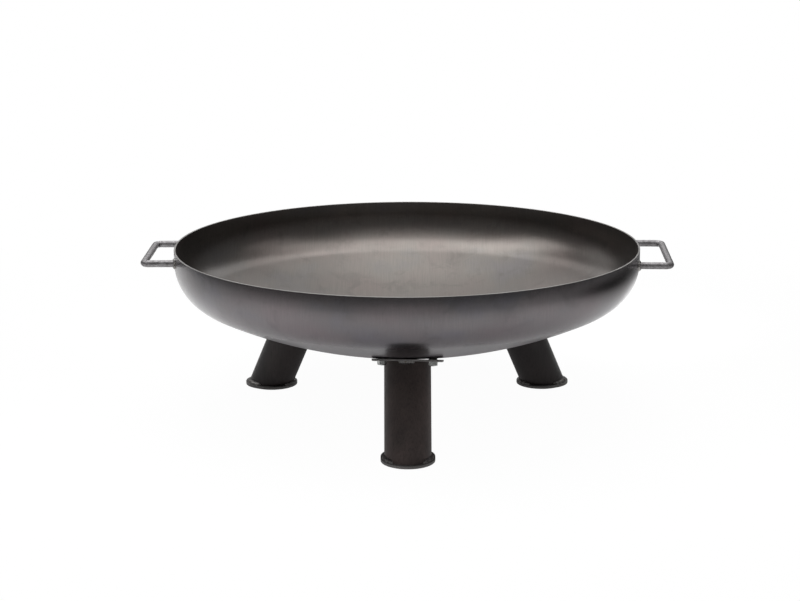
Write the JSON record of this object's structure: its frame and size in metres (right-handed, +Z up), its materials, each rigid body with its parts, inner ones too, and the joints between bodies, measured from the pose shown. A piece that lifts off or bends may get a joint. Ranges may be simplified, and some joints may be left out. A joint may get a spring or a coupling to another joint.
{
  "type": "fire bowl on tube legs",
  "caption": "Wide, shallow steel fire bowl with welded bar handles, standing low on slanted round-tube legs bolted to its underside.",
  "frame": {"origin": "on the ground, on the bowl's vertical axis", "axes": "+Z up, +X through the right handle, and -Y towards the front leg"},
  "size_m": [0.9115, 0.8, 0.294],
  "materials": {
    "bowl_steel": "dark satin raw steel, oiled",
    "handle_bar": "bare round bar, slightly mottled",
    "leg_steel": "black mill scale, oiled",
    "plate_steel": "black mill scale with bare cut edges",
    "weld_bead": "rippled, unpolished weld",
    "fastener_steel": "dull zinc plate"
  },
  "bodies": {
    "root": {"bowl": "bowl_steel", "handle_left": "handle_bar", "handle_welds_left": "weld_bead", "handle_right": "handle_bar", "handle_welds_right": "weld_bead", "leg_tube_front": "leg_steel", "leg_flange_front": "plate_steel", "leg_flange_welds_front": "weld_bead", "foot_plate_front": "plate_steel", "foot_welds_front": "weld_bead", "mounting_studs_front": "fastener_steel", "stud_nuts_front": "fastener_steel", "leg_tube_back_left": "leg_steel", "leg_flange_back_left": "plate_steel", "leg_flange_welds_back_left": "weld_bead", "foot_plate_back_left": "plate_steel", "foot_welds_back_left": "weld_bead", "mounting_studs_back_left": "fastener_steel", "stud_nuts_back_left": "fastener_steel", "leg_tube_back_right": "leg_steel", "leg_flange_back_right": "plate_steel", "leg_flange_welds_back_right": "weld_bead", "foot_plate_back_right": "plate_steel", "foot_welds_back_right": "weld_bead", "mounting_studs_back_right": "fastener_steel", "stud_nuts_back_right": "fastener_steel"}
  },
  "joints": []
}
